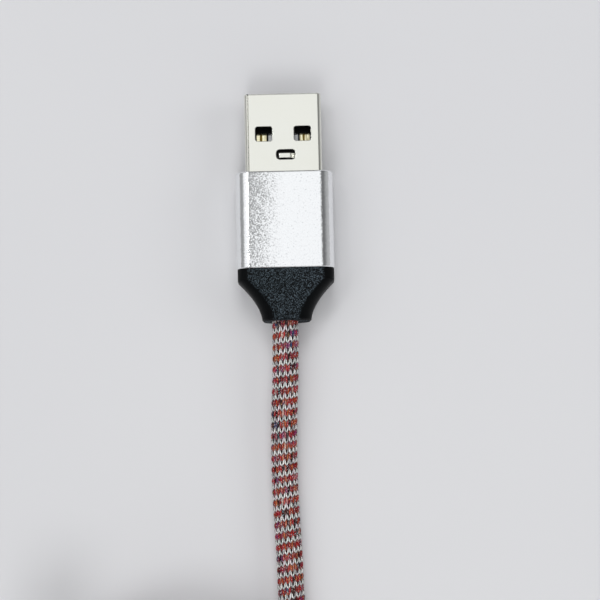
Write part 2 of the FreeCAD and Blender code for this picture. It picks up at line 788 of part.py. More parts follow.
def make_charger_leads():
    """Four leads from the contact tails to the bared end of the cord."""
    r = size("lead_diameter") / 2
    high = size("tongue_top") - size("groove_depth") + size("contact_thickness") + r
    tail = -size("deck_tail") + size("contact_tail_setback")
    sheath = -size("charger_housing_length") + size("tenon_length") + size("sheath_length")
    spread = size("sheath_diameter") / 2 - 2 * r - size("fit")
    bend = (tail - sheath) / 4
    offset = size("charger_cord_offset")
    middle = (size("charger_housing_length") + size("charger_relief_length") - size("charger_reach")) / 2
    start_y = tail + bend / 2
    leads = {"power": ("power", -1, 1), "data_minus": ("data", -1, -1),
             "data_plus": ("data", 1, -1), "ground": ("power", 1, 1)}
    for name, (kind, side, level) in leads.items():
        x = side * size(f"{kind}_contact_centre")
        end_x, end_z = offset + side * (spread + r), level * (spread + r)
        points = [V(x, start_y, high), V(x, tail - bend, high), V(end_x, sheath + bend, end_z),
                  V(end_x, sheath, end_z)]
        edges, radii = route_edges(points)
        feature = add_tube(f"charger_plug_{name}_lead", edges, 2 * r, radii)
        feature.Placement = FreeCAD.Placement(V(0, middle, size("charger_housing_height") / 2),
                                              FreeCAD.Rotation())


def make_phone_leads():
    """Four leads from the board, two on each face, to the bared end of the cord."""
    r = size("lead_diameter") / 2
    high = size("mouth_height") / 2 - size("pin_thickness") + r
    tail = -size("board_tail")
    sheath = -size("phone_housing_length") + size("tenon_length") + size("sheath_length")
    spread = size("sheath_diameter") / 2 - 2 * r - size("fit")
    bend = (tail - sheath) / 4
    offset = size("phone_cord_offset")
    leads = {"power": (-1, 1), "data_minus": (-1, -1), "data_plus": (1, -1), "ground": (1, 1)}
    for name, (side, level) in leads.items():
        x = side * size("board_width") / 4
        end_x, end_z = offset + side * (spread + r), level * (spread + r)
        points = [V(x, tail + 2 * r, level * high), V(x, tail - bend, level * high),
                  V(end_x, sheath + bend, end_z), V(end_x, sheath, end_z)]
        edges, radii = route_edges(points)
        lay_phone_part(add_tube(f"phone_plug_{name}_lead", edges, 2 * r, radii))


# The coil of spare cord

def biarc(start, start_way, end, end_way):
    """Two arcs that join two points and share their directions there."""
    chord = end - start
    ways = start_way + end_way
    along = chord.dot(ways)
    square = 2 * (1 - start_way.dot(end_way))
    reach = (-along + math.sqrt(along ** 2 + square * chord.dot(chord))) / square
    first_corner = start + start_way * reach
    second_corner = end - end_way * reach
    joint = (first_corner + second_corner) * 0.5
    return [rounded_corner(start, first_corner, joint), rounded_corner(joint, second_corner, end)]


def coil_pitch():
    return size("cord_diameter") + size("coil_spacing")


def coil_point(turn):
    """Centre line of the coil: clockwise from its right side, in and out, layer on layer."""
    layer_turns, climb = size("coil_layer_turns"), size("coil_climb_turns")
    layer, past = divmod(turn, layer_turns + climb)
    outward = layer % 2
    wound = min(past, layer_turns)
    inset = layer_turns - wound if outward else wound
    climbed = past - wound
    bow = climbed - climbed ** 2 / climb
    inset += -bow if outward else bow
    level = layer + (1 - math.cos(math.pi * climbed / climb)) / 2
    radius = size("coil_radius") - coil_pitch() * inset
    low = size("cord_diameter") / 2 + size("tie_thickness") + size("tie_clearance") / 2
    angle = -2 * math.pi * turn
    return V(radius * math.cos(angle), radius * math.sin(angle), low + coil_pitch() * level)


def coil_stops():
    """Turns at which the coil's arcs meet: even steps, of a quarter turn or less."""
    stops = [0.0]
    while stops[-1] < size("coil_turns"):
        for stretch in (size("coil_layer_turns"), size("coil_climb_turns")):
            start = stops[-1]
            rest = min(stretch, size("coil_turns") - start)
            steps = math.ceil(4 * rest)
            stops += [start + rest * i / steps for i in range(1, steps + 1)]
    return stops


def coil_way(turn):
    """Direction of the coil's centre line."""
    step = 1e-4
    return (coil_point(turn + step) - coil_point(turn - step)).normalize()


def coil_gap():
    """Least distance between the surfaces of different turns."""
    per_turn = 72
    points = [coil_point(i / per_turn) for i in range(int(size("coil_turns") * per_turn) + 1)]
    least = min((one - two).Length for i, one in enumerate(points) for two in points[i + per_turn // 4:])
    return least - size("cord_diameter")


def make_coil(centre):
    """One unbroken tube in piled layers, climbing a layer where the spiral reverses."""
    stops = coil_stops()
    lead_in = size("cord_diameter")
    edges = []
    ends = []
    for index, sign in ((0, -1), (-1, 1)):
        point, way = coil_point(stops[index]) + centre, coil_way(stops[index])
        way = V(way.x, way.y, 0).normalize()
        ends.append((point, point + way * (sign * lead_in), way))
    edges.append(Part.LineSegment(ends[0][1], ends[0][0]).toShape())
    for one, two in zip(stops, stops[1:]):
        edges += biarc(coil_point(one) + centre, coil_way(one), coil_point(two) + centre, coil_way(two))
    edges.append(Part.LineSegment(ends[1][0], ends[1][1]).toShape())
    tightest = min(edge.Curve.Radius for edge in edges[1:-1])
    add_tube("cord_coil", edges, size("cord_diameter"), [tightest])
    print(f"cord_coil: {stops[-1]:.2f} turns, least gap to itself {coil_gap():.2f} mm")
    return ends[0][1:], ends[1][1:]


def make_tie(centre):
    """Woven strap round the bundle of turns and the tail that lies on it, its end overlapped."""
    body = new_body("cord_tie")
    pitch = "(dim.cord_diameter + dim.coil_spacing)"
    reach = "(dim.cord_diameter / 2 + dim.tie_clearance)"
    outermost = f"(dim.coil_radius + {reach})"
    innermost = f"(dim.coil_radius - {pitch} * dim.coil_layer_turns - {reach})"
    width = f"({outermost} - {innermost})"
    height = f"(3 * {pitch} + dim.cord_diameter + 2 * dim.tie_clearance)"
    middle_x = f"({outermost} + {innermost}) / 2"
    middle_z = f"dim.tie_thickness + {height} / 2"
    corner = "dim.cord_diameter / 2"
    both = "2 * dim.tie_thickness"
    ring = new_sketch(body, "XZ_Plane")
    outer_corner = f"{corner} + dim.tie_thickness"
    draw_rounded(ring, f"{width} + {both}", f"{height} + {both}", outer_corner, middle_x, middle_z)
    draw_rounded(ring, width, height, corner, middle_x, middle_z)
    pad(body, ring, "dim.tie_width", middle=True)
    flap = new_sketch(body, "XZ_Plane")
    draw_rectangle(flap, "dim.tie_flap", "dim.tie_thickness", middle_x, f"{height} + 2.5 * dim.tie_thickness")
    pad(body, flap, "dim.tie_width", middle=True)
    body.Placement = FreeCAD.Placement(centre, FreeCAD.Rotation(V(0, 0, 1), size("tie_angle")))


# Build the charger plug

make_charger_shell()
make_insulator()
make_contact("power", "power", "-")
make_contact("data_minus", "data", "-")
make_contact("data_plus", "data", "")
make_contact("ground", "power", "")
make_inner_mould("charger", draw_charger_shell_outline)
make_housing("charger")
make_strain_relief("charger")
make_cord_end("charger")
make_crimp("charger")
make_charger_leads()

# Build the cord: out of the charger plug, down to the surface, and into the coil.
# A route point holds x, y and the height of the cord's underside above the surface.

FRONT_POINTS = [
    (-0.78, -32.5, 0.95),
    (-0.90, -41.0, 0.12),
    (-0.62, -49.1, 0.00),
    (-0.30, -55.1, 0.03),
    (-0.25, -61.2, 0.08),
    (1.25, -67.3, 0.16),
    (4.17, -72.9, 0.28),
]

# A tail point holds x, y and how far the cord has risen from the coil to the plug on it
TAIL_POINTS = [
    (-3.0, -105.35, 0.00),
    (-6.98, -110.5, 0.00),
    (-12.5, -113.9, 0.02),
    (-18.9, -115.15, 0.10),
    (-25.3, -114.1, 0.35),
    (-30.95, -110.9, 0.70),
    (-35.2, -105.95, 0.92),
    (-37.4, -99.9, 1.00),
    (-37.4, -93.8, 1.00),
]

head_length = size("charger_reach") + size("charger_housing_length") + size("charger_relief_length")
cord_exit = V(size("charger_cord_offset"), -head_length / 2, size("charger_housing_height") / 2)
coil_centre = V(-18.05, -89.3, 0)
(coil_start, start_way), (coil_end, end_way) = make_coil(coil_centre)

front_route = [cord_exit, cord_exit - V(0, size("exit_run"), 0)]
front_route += [V(x, y, underside + size("cord_diameter") / 2) for x, y, underside in FRONT_POINTS]
front_route += [coil_start - start_way * size("coil_approach"), coil_start]
front_edges, front_radii = route_edges(front_route)
add_tube("cord_front", front_edges, size("cord_diameter"), front_radii)

# The tail goes half round on top of the coil to the phone plug, which lies on the coil

coil_top = coil_end.z - coil_pitch() + size("cord_diameter") / 2
climb = coil_top + size("plug_rest_gap") + size("phone_housing_height") / 2 - coil_end.z
tail_route = [coil_end, coil_end + end_way * size("coil_departure")]
tail_route += [V(x, y, coil_end.z + climb * share) for x, y, share in TAIL_POINTS]
tail_edges, tail_radii = route_edges(tail_route)
add_tube("cord_tail", tail_edges, size("cord_diameter"), tail_radii)
make_tie(coil_centre)

# Build the phone plug and lay it on the end of the tail

make_phone_shell()
make_lining()
make_pin_row("phone_plug_upper_contacts", 1)
make_pin_row("phone_plug_lower_contacts", -1)
make_ground_spring("phone_plug_upper_ground_spring", 1)
make_ground_spring("phone_plug_lower_ground_spring", -1)
make_latch()
make_board()
make_inner_mould("phone", draw_phone_shell_outline)
make_housing("phone")
make_strain_relief("phone")
make_cord_end("phone")
make_crimp("phone")
make_phone_leads()

tail_way = (tail_route[-1] - tail_route[-2]).normalize()
plug_turn = FreeCAD.Rotation(V(0, 1, 0), tail_way)
plug_length = size("phone_housing_length") + size("phone_relief_length")
cord_place = size("phone_cord_offset")
for item, x in phone_items:
    base = tail_route[-1] + tail_way * plug_length + plug_turn.multVec(V(x - cord_place, 0, 0))
    item.Placement = FreeCAD.Placement(base, plug_turn)

# Check and write every sub-part

doc.recompute()
for item in doc.Objects:
    if "Invalid" in item.State or "Error" in item.State:
        raise RuntimeError(f"{item.Label} did not build: {item.State}")
for label, item in nodes.items():
    if item.Shape.isNull() or not item.Shape.isValid():
        raise RuntimeError(f"{label} has no valid shape")

os.makedirs("parts", exist_ok=True)
for label, item in nodes.items():
    item.Shape.exportStep(f"parts/{label}.step")
print(f"{len(nodes)} sub-parts, head {head_length:.1f} mm long")
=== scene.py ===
import math

import bmesh
import bpy
import numpy as np
from mathutils import Matrix, Vector


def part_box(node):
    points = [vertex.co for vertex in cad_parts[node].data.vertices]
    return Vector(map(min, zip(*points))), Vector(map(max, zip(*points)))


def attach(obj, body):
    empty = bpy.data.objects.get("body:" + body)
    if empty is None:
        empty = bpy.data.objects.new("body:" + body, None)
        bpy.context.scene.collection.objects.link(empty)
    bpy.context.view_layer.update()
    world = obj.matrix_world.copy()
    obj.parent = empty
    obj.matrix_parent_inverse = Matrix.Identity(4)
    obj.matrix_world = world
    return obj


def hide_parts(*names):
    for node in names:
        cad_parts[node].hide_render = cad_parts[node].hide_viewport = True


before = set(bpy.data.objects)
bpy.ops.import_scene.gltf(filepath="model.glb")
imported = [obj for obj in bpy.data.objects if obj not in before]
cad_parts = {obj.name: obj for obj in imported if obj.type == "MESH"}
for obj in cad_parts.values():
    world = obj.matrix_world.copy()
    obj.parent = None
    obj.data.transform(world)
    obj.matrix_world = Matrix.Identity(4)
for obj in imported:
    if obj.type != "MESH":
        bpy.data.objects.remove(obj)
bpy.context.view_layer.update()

# A charging cable seen from above: charger plug, knitted cord, its coil and the phone plug.
# Metres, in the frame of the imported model: +Y along the charger plug to its mouth, +Z up.

MM = 0.001

# Camera: it looks down from the cord's side, at the photograph's framing
PICTURE_PIXELS = 600
FOCAL_PIXELS = 1903.0
SENSOR_WIDTH = 36.0
CAMERA_DISTANCE = 300 * MM
CAMERA_TILT = math.radians(6.5)
CAMERA_ROLL = math.radians(-1.228)
CAMERA_TARGET = Vector((2.092, -14.04, 0)) * MM
CAMERA_NEAR = 10 * MM

# Cord
CORD_DIAMETER = 4.0 * MM
MOUTH_DEPTH = 0.45 * MM

# The cord's middle is a smooth curve through its route: order, and steps between two points
CURVE_ORDER = 3
CURVE_STEPS = 12

# Knit: wales run along the cord, and a red and a white course make one turn of the helix.
# KNIT_START is the part of a course that the jacket's start cuts off. For each wale's width
# the legs of a V fall VEE_DEPTH courses behind its tip. Red ends RED_TIP courses into a turn
# on the tip, and for each wale's width RED_SLANT courses sooner on the legs.
WALES = 16
COURSE = 0.856 * MM
COURSES_PER_TURN = 2
KNIT_START = 0.31
VEE_DEPTH = 1.25
RED_TIP = 1.42
RED_SLANT = 0.72
STEPS_PER_WALE = 4
STEPS_PER_COURSE = 4

# Yarns of the knit: how deep the gaps between them are, how far they stand out of the
# cord's diameter, the powers that round their sections, the share of their height that rolls
# with each course, and the side below which a face at the cord's ends has no height
YARN_RELIEF = 0.24 * MM
YARN_PROUD = 0.05 * MM
LEG_CURVE = 0.7
COURSE_CURVE = 0.5
COURSE_SHARE = 0.65
LEAST_SIDE = 1e-9

# Coil of spare cord
COIL_CENTRE = Vector((-18.05, -89.3, 0)) * MM
COIL_RADIUS = 23.4 * MM
COIL_PITCH = 4.6 * MM
COIL_LAYER_TURNS = 1.5
COIL_CLIMB = 0.5
COIL_TURNS = 6.0
COIL_LOW = 2.5 * MM
COIL_POINTS_PER_TURN = 24
COIL_APPROACH = 6.3 * MM
COIL_DEPARTURE = 5.9 * MM
COIL_LEAD = 4.0 * MM

# Strap round the coil: its loop is a rounded rectangle that stands across the bundle of turns,
# and the webbing's faces lie STRAP_SLACK inside it. Its yarns are YARN_ROUND high and go
# YARN_WAVE up and down, as shares of the weave's depth, and SELVEDGE is the share of the
# thickness at its two edges.
STRAP_ANGLE = math.radians(-45)
STRAP_WIDTH = 7.0 * MM
STRAP_THICKNESS = 0.4 * MM
STRAP_OVERLAP = 6.0 * MM
STRAP_CLEARANCE = 0.2 * MM
LAP_RISE = 1.5 * STRAP_THICKNESS
YARN_PITCH = 0.7 * MM
STEPS_PER_YARN = 4
YARN_ROUND = 0.6
YARN_WAVE = 0.4
WEAVE_DEPTH = 0.13 * MM
STRAP_SLACK = 0.02 * MM
SELVEDGE = 0.35

# Route points: x, y and the height of the cord's underside, in millimetres
EXIT_RUN = 6.5 * MM
FRONT_POINTS = [
    (-0.78, -32.5, 0.95),
    (-0.90, -41.0, 0.12),
    (-0.62, -49.1, 0.00),
    (-0.30, -55.1, 0.03),
    (-0.25, -61.2, 0.08),
    (1.25, -67.3, 0.16),
    (4.17, -72.9, 0.28),
]

# Tail points: x and y in millimetres, and how far it has risen from the coil to the plug
TAIL_POINTS = [
    (-3.0, -105.35, 0.00),
    (-6.98, -110.5, 0.00),
    (-12.5, -113.9, 0.02),
    (-18.9, -115.15, 0.10),
    (-25.3, -114.1, 0.35),
    (-30.95, -110.9, 0.70),
    (-35.2, -105.95, 0.92),
    (-37.4, -99.9, 1.00),
    (-37.4, -93.8, 1.00),
]

# Layout of the jacket in the unit square: equal lengths side by side, with margins
BAKE_STRIPS = 8
END_MARGIN = 0.003
SIDE_MARGIN = 0.03

# Yarn colours: the share of the stitches at which each starts, and the colour. The palest warm
# yarn is a painted highlight on single legs.
WARM_YARNS = [
    (0.00, (0.05, 0.003, 0.003)), (0.15, (0.26, 0.010, 0.011)), (0.38, (0.48, 0.022, 0.020)),
    (0.60, (0.50, 0.068, 0.024)), (0.80, (0.60, 0.15, 0.070)), (0.95, (0.88, 0.50, 0.42)),
]
COOL_YARNS = [
    (0.00, (0.02, 0.003, 0.012)), (0.17, (0.28, 0.012, 0.040)), (0.40, (0.48, 0.024, 0.050)),
    (0.64, (0.26, 0.035, 0.15)), (0.80, (0.05, 0.085, 0.20)), (0.87, (0.62, 0.17, 0.22)),
]
PALE_YARNS = [
    (0.00, (0.46, 0.44, 0.45)), (0.14, (0.70, 0.74, 0.71)), (0.34, (0.84, 0.81, 0.80)),
    (0.54, (0.82, 0.72, 0.76)), (0.70, (0.92, 0.90, 0.88)), (0.90, (0.97, 0.96, 0.95)),
]
# Painted glints: the colours to which specks of the iridescent thread are lightened, on red and
# on white yarn
TINSEL_GLINTS = [
    (0.00, (0.95, 0.66, 0.58)), (0.40, (1.00, 0.48, 0.16)), (0.60, (0.92, 0.80, 0.88)),
    (0.86, (0.42, 0.78, 0.84)),
]
WHITE_GLINT = (0.98, 0.98, 0.97)
RED_SHADE = (0.006, 0.001, 0.001)
WHITE_SHADE = (0.040, 0.030, 0.030)
TIP_SHADE = (0.003, 0.001, 0.001)

# Metal and plastic: dark tint, light tint and roughness of each
# On the plated pieces the dark and light tints make painted bands of reflection and shade
PLATED = {
    "gold_plate": ((0.16, 0.11, 0.02), (0.98, 0.93, 0.66), 0.25),
    "tin_plate": ((0.08, 0.09, 0.10), (0.45, 0.455, 0.455), 0.3),
    "spring_steel": ((0.45, 0.45, 0.46), (0.62, 0.62, 0.63), 0.3),
}
PLASTICS = {
    "red_insulation": ((0.45, 0.02, 0.015), (0.52, 0.03, 0.02), 0.35),
    "dark_moulding": ((0.02, 0.02, 0.021), (0.03, 0.03, 0.031), 0.5),
    "black_insulation": ((0.012, 0.012, 0.013), (0.02, 0.02, 0.021), 0.35),
    "white_insulation": ((0.74, 0.74, 0.74), (0.80, 0.80, 0.80), 0.35),
    "green_insulation": ((0.02, 0.25, 0.06), (0.03, 0.30, 0.08), 0.35),
    "solder_mask": ((0.015, 0.16, 0.07), (0.02, 0.20, 0.09), 0.3),
    "ceramic_body": ((0.04, 0.04, 0.04), (0.06, 0.06, 0.06), 0.5),
    "cord_core": ((0.30, 0.05, 0.05), (0.36, 0.08, 0.07), 0.7),
}

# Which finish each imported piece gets, by the end of its name
FINISHES = {
    "_shell": "nickel_plate", "_housing": "blasted_aluminium",
    "_strain_relief": "black_elastomer", "_insulator": "black_moulding",
    "_inner_mould": "dark_moulding", "_cord_end": "cord_core",
    "power_contact": "gold_plate", "ground_contact": "gold_plate", "_contacts": "gold_plate",
    "minus_contact": "tin_plate", "plus_contact": "tin_plate",
    "_spring": "spring_steel", "_latch": "spring_steel", "_crimp": "spring_steel",
    "power_lead": "red_insulation", "ground_lead": "black_insulation",
    "minus_lead": "white_insulation", "plus_lead": "green_insulation",
    "_board": "solder_mask", "_resistor": "ceramic_body",
}

# Shape that only shading shows: the width of softened edges, and the sleeve's crown, twist
# and tilted facets
SOFT_EDGE = 0.18 * MM
CROWN = 1.5 * MM
TWIST = 0.25 * MM
FACET_TILT = 0.085

# Lamps: name, place, side, radiance and whether metal mirrors it
LAMPS = [
    ("lamp_spark", (-0.24, 0.16, 0.62), 0.07, 12.0, True),
    ("lamp_ahead", (0.0, 0.42, 0.68), 0.3, 4.5, False),
    ("lamp_behind", (-0.10, -0.48, 0.62), 0.3, 4.2, False),
    ("lamp_right", (0.60, 0.05, 0.42), 0.35, 2.3, False),
    ("lamp_left", (-0.45, -0.15, 0.60), 0.3, 1.4, False),
]

# Levels of the plain backdrop that the camera sees, and of the room that metal mirrors
BACKDROP_LEVEL = 0.72
ROOM_COLOUR = (0.98, 0.99, 1.0)
BASE_LEVEL = 0.17
SOFT_BOX_LEVEL = 0.84
OVERHEAD_LEVEL = 0.86
GAP_LEVEL = 0.12
NEAR_WALL_LEVEL = 0.55
RIGHT_WALL_LEVEL = 0.32

# Floor: its half width, how far it lies under the object, and where it fades to the backdrop
FLOOR_HALF = 1.5
FLOOR_DROP = 0.02 * MM
FLOOR_FADE = (0.20, 0.80)


# Small helpers for meshes and materials

def new_object(name, mesh):
    piece = bpy.data.objects.new(name, mesh)
    bpy.context.scene.collection.objects.link(piece)
    return piece


def use_material(piece, material):
    piece.data.materials.clear()
    piece.data.materials.append(material)


class Nodes:
    """A short way to write a node tree: each call adds a node and returns its output."""

    def __init__(self, owner, shader="Principled BSDF"):
        owner.use_nodes = True
        self.owner = owner
        self.tree = owner.node_tree
        self.shader = self.tree.nodes[shader]

    @classmethod
    def of_material(cls, name):
        return cls(bpy.data.materials.new(name))

    def connect(self, source, socket):
        if isinstance(source, (int, float)):
            socket.default_value = source
        elif isinstance(source, tuple):
            missing = len(socket.default_value) - len(source)
            socket.default_value = source + (1.0,) * missing
        else:
            self.tree.links.new(source, socket)

    def add(self, kind, inputs=None, output=0, **settings):
        node = self.tree.nodes.new(kind)
        for key, setting in settings.items():
            setattr(node, key, setting)
        for key, source in (inputs or {}).items():
            self.connect(source, node.inputs[key])
        return node.outputs[output]

    # numbers

    def math(self, operation, *numbers):
        return self.add("ShaderNodeMath", dict(enumerate(numbers)), operation=operation)

    def times(self, first, *others):
        for other in others:
            first = self.math("MULTIPLY", first, other)
        return first

    def smooth(self, source, low, high, to_low=0.0, to_high=1.0):
        inputs = {"Value": source, "From Min": low, "From Max": high,
                  "To Min": to_low, "To Max": to_high}
        return self.add("ShaderNodeMapRange", inputs, interpolation_type="SMOOTHSTEP")

    def choose(self, factor, one, two):
        return self.add("ShaderNodeMix", {0: factor, 2: one, 3: two})

    # vectors

    def coordinates(self, kind="Object"):
        return self.add("ShaderNodeTexCoord", output=kind)

    def facing(self):
        return self.add("ShaderNodeNewGeometry", output="Normal")

    def axes(self, vector):
        return self.add("ShaderNodeSeparateXYZ", {"Vector": vector}).node.outputs

    def scaled(self, vector, scale):
        return self.add("ShaderNodeMapping", {"Vector": vector, "Scale": scale})

    def vector(self, operation, *vectors):
        return self.add("ShaderNodeVectorMath", dict(enumerate(vectors)), operation=operation)

    # colours

    def channels(self, colour):
        return self.add("ShaderNodeSeparateColor", {"Color": colour}).node.outputs

    def ramp(self, source, stops, kind="LINEAR"):
        node = self.tree.nodes.new("ShaderNodeValToRGB")
        self.connect(source, node.inputs[0])
        elements = node.color_ramp.elements
        node.color_ramp.interpolation = kind
        while len(elements) < len(stops):
            elements.new(0.5)
        for element, (place, colour) in zip(elements, stops):
            element.position = place
            element.color = tuple(colour) + (1.0,)
        return node.outputs[0]

    def mix(self, factor, one, two, blend="MIX"):
        node = self.tree.nodes.new("ShaderNodeMix")
        node.data_type = "RGBA"
        node.blend_type = blend
        for key, source in ((0, factor), (6, one), (7, two)):
            self.connect(source, node.inputs[key])
        return node.outputs[2]

    # patterns and surface

    def noise(self, scale, detail=2.0, vector=None):
        inputs = {"Vector": vector or self.coordinates(), "Scale": scale, "Detail": detail}
        return self.add("ShaderNodeTexNoise", inputs)

    def cells(self, scale):
        inputs = {"Vector": self.coordinates(), "Scale": scale}
        return self.add("ShaderNodeTexVoronoi", inputs, output="Color")

    def bump(self, height, distance, strength=1.0, normal=None):
        inputs = {"Height": height, "Distance": distance, "Strength": strength}
        if normal is not None:
            inputs["Normal"] = normal
        return self.add("ShaderNodeBump", inputs)

    def soft_edges(self):
        return self.add("ShaderNodeBevel", {"Radius": SOFT_EDGE}, samples=6)

    def finish(self, **sockets):
        for name, source in sockets.items():
            self.connect(source, self.shader.inputs[name.replace("_", " ")])
        return self.owner


# Materials of the plugs; the scales of their patterns are features for each metre

def nickel_material():
    """Bright plated sheet with a faint grain along it, and a painted dark reflection where the
    left fold turns down.
    """
    n = Nodes.of_material("nickel_plate")
    grain = n.noise(1.0, 3.0, n.scaled(n.coordinates(), (9000, 700, 9000)))
    cloud = n.noise(260.0)
    tint = n.ramp(cloud, [(0.3, (0.80, 0.80, 0.735)), (0.7, (0.83, 0.83, 0.77))])
    rough = n.smooth(cloud, 0.3, 0.7, 0.13, 0.18)
    outward = n.axes(n.facing())[0]
    # Painted reflection: where the left fold first turns down, found by its facing, the plate is
    # tinted dark
    painted_fold_reflection = n.times(n.smooth(outward, -0.01, -0.05), n.smooth(outward, -0.34, -0.24), 0.9)
    tint = n.mix(painted_fold_reflection, tint, (0.08, 0.08, 0.07))
    normal = n.bump(grain, 0.002 * MM, 0.5, n.soft_edges())
    return n.finish(Base_Color=tint, Metallic=1.0, Roughness=rough, Normal=normal)


def sleeve_material():
    """Sand-blasted and anodised aluminium: a faintly crowned face of small tilted facets."""
    n = Nodes.of_material("blasted_aluminium")
    cells = n.cells(7600.0)
    worn = n.noise(4200.0)
    tint = n.ramp(worn, [
        (0.26, (0.66, 0.68, 0.70)), (0.36, (0.88, 0.89, 0.90)), (0.6, (0.91, 0.92, 0.93))])
    own = n.axes(n.coordinates("Generated"))
    aside = n.math("SUBTRACT", own[0], 0.5)
    ahead = n.math("SUBTRACT", own[1], 0.5)
    lean = n.math("SUBTRACT", n.times(ahead, TWIST / CROWN), aside)
    crown = n.bump(n.times(aside, lean), CROWN, 1.0, n.soft_edges())
    tilt = n.vector("SUBTRACT", cells, (0.5, 0.5, 0.5))
    facet = n.vector("MULTIPLY_ADD", tilt, (FACET_TILT, FACET_TILT, FACET_TILT), crown)
    normal = n.vector("NORMALIZE", facet)
    return n.finish(Base_Color=tint, Metallic=1.0, Roughness=0.13, Normal=normal)


def relief_material():
    """Black elastomer: an eroded grain with painted glints on the flats, none on the flanks, and
    a dull end.
    """
    n = Nodes.of_material("black_elastomer")
    chance = n.channels(n.cells(10500.0))[0]
    facing = n.axes(n.facing())
    # Painted glints: bright metallic flecks only on faces that look up, so the flanks, found by
    # their facing, are painted darker
    flat = n.smooth(n.math("ABSOLUTE", facing[0]), 0.30, 0.08)
    spark = n.times(n.smooth(chance, 0.56, 0.97), flat)
    tint = n.mix(spark, (0.002, 0.0025, 0.003), (0.085, 0.112, 0.132))
    normal = n.bump(n.noise(9000.0), 0.016 * MM)
    dull_end = n.smooth(facing[1], -0.80, -0.97, 0.0, 0.45)
    rough = n.math("ADD", n.smooth(flat, 0.0, 1.0, 0.5, 0.24), dull_end)
    return n.finish(Base_Color=tint, Metallic=n.times(spark, 0.8), Roughness=rough,
                    Specular_IOR_Level=0.07, Normal=normal)


def insulator_material():
    """Black moulding behind the windows, a little uneven, tinted darker than plain black plastic
    as painted shade inside the shell.
    """
    n = Nodes.of_material("black_moulding")
    grain = n.noise(3000.0)
    # Near-black: the moulding's own black, darkened further as painted shade
    tint = n.ramp(grain, [(0.3, (0.002, 0.002, 0.002)), (0.7, (0.004, 0.004, 0.004))])
    normal = n.bump(grain, 0.01 * MM, 0.4)
    return n.finish(Base_Color=tint, Roughness=0.45, Specular_IOR_Level=0.1, Normal=normal)


def plated_material(name, dark, light, roughness):
    """Contact strip: light and dark bands along it, painted reflection and shade, with edges
    wobbled by the rolling grain.
    """
    n = Nodes.of_material(name)
    aside = n.axes(n.coordinates("Generated"))[0]
    streak = n.noise(1.0, 2.0, n.scaled(n.coordinates(), (3100, 250, 3100)))
    place = n.math("ADD", aside, n.smooth(streak, 0.3, 0.7, -0.12, 0.12))
    # Painted reflection and shade: light and dark bands across the strip
    middle = [(a + b) / 2 for a, b in zip(dark, light)]
    tint = n.ramp(place, [
        (0.03, middle), (0.08, light), (0.22, light), (0.28, dark), (0.52, dark),
        (0.58, light), (0.70, light), (0.77, dark), (0.84, light), (0.97, middle)])
    normal = n.bump(streak, 0.03 * MM, 0.4)
    return n.finish(Base_Color=tint, Metallic=1.0, Roughness=roughness, Normal=normal)


def plastic_material(name, dark, light, roughness):
    """Moulded plastic, rubber or lacquer with faint clouds."""
    n = Nodes.of_material(name)
    cloud = n.noise(1500.0, 3.0)
    tint = n.ramp(cloud, [(0.3, dark), (0.7, light)])
    normal = n.bump(cloud, 0.01 * MM, 0.4)
    return n.finish(Base_Color=tint, Roughness=roughness, Normal=normal)


# Material of the knitted jacket

